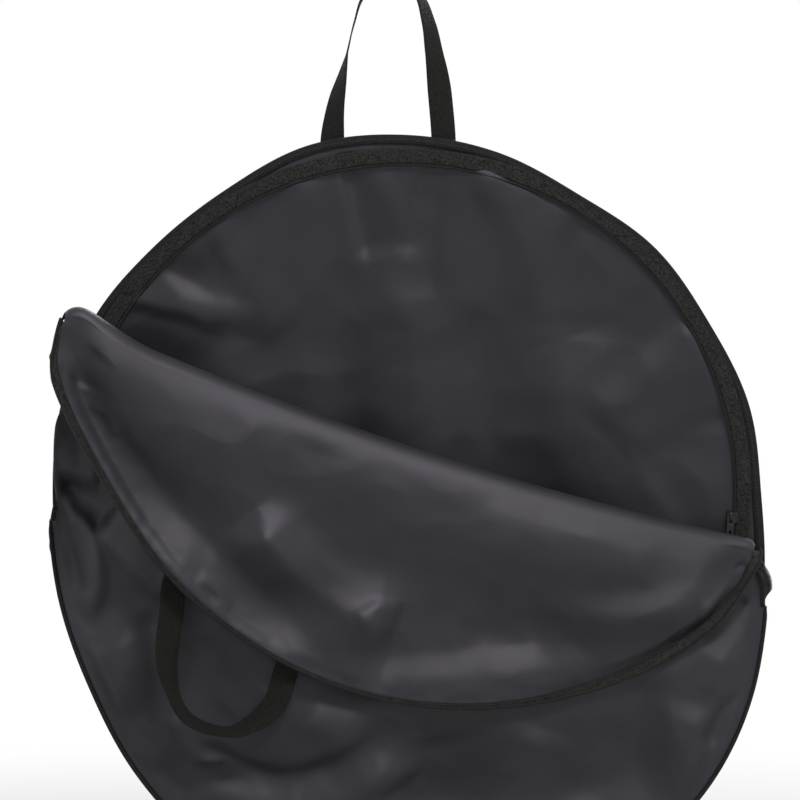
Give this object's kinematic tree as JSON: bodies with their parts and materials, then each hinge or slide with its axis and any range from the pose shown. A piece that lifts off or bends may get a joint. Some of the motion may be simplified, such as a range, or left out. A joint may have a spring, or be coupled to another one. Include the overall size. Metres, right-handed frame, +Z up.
{
  "type": "bike wheel bag",
  "caption": "Round zipped cloth bag for a bicycle wheel, hung open from a webbing handle with its front flap folded down.",
  "frame": {"origin": "under the top of the back handle, where a hand or hook holds it up", "axes": "+Z up, the open front faces -Y, +X to the viewer's right"},
  "size_m": [0.8224, 0.1965, 1.0686],
  "materials": {
    "cloth": "woven polyester with a slight sheen",
    "binding": "flat woven tape",
    "piping": "smooth covered cord",
    "webbing": "matt ribbed webbing",
    "zip_tape": "herringbone tape",
    "zip_coil": "satin nylon",
    "zip_metal": "dark plated"
  },
  "bodies": {
    "back_handle": {"back_handle": "webbing"},
    "bag": {"back_panel": "cloth", "back_binding": "binding", "back_zip_tape": "zip_tape", "back_zip_coil": "zip_coil", "zip_bottom_stop": "zip_metal", "zip_top_stop": "zip_metal", "front_panel": "cloth", "front_binding_left": "binding", "front_binding_right": "binding", "front_zip_tape_left": "zip_tape", "front_zip_tape_right": "zip_tape", "front_zip_coil_left": "zip_coil", "front_zip_coil_right": "zip_coil", "gusset": "cloth", "back_piping": "piping", "front_piping": "piping", "back_handle_sewn_end_left": "webbing", "back_handle_sewn_end_right": "webbing"},
    "flap": {"flap_panel": "cloth", "flap_binding": "binding", "flap_zip_tape": "zip_tape", "flap_zip_coil": "zip_coil", "front_handle_sewn_end_left": "webbing", "front_handle_sewn_end_right": "webbing"},
    "front_handle": {"front_handle": "webbing"},
    "zip_slider": {"zip_slider": "zip_metal"},
    "zip_pull": {"zip_pull": "zip_metal"}
  },
  "joints": [
    {"name": "bag_swing", "type": "hinge", "parent": "back_handle", "child": "bag", "pos_m": [0, 0, -0.1972], "axis": [1, 0, 0], "range_deg": [0, 160]},
    {"name": "flap_fold", "type": "hinge", "parent": "bag", "child": "flap", "pos_m": [0.04237, -0.04662, -0.51711], "axis": [-0.9445, -0.1107, 0.3094], "range_deg": [0, 180]},
    {"name": "front_handle_swing", "type": "hinge", "parent": "flap", "child": "front_handle", "pos_m": [-0.22138, -0.07987, -0.64891], "axis": [-0.8006, -0.0898, 0.5925], "range_deg": [-162, 0]},
    {"name": "slider_travel", "type": "hinge", "parent": "bag", "child": "zip_slider", "pos_m": [0.018, 0.03682, -0.58032], "axis": [0, -0.994, -0.1097], "range_deg": [-10.5, 184.5]},
    {"name": "pull_swing", "type": "hinge", "parent": "zip_slider", "child": "zip_pull", "pos_m": [0.39115, 0.03168, -0.60386], "axis": [-0.9981, -0.0067, 0.0607], "range_deg": [-6, 165]}
  ],
  "couplings": [
    {"joint": "front_handle_swing", "follows": "flap_fold", "ratio": -0.9}
  ]
}
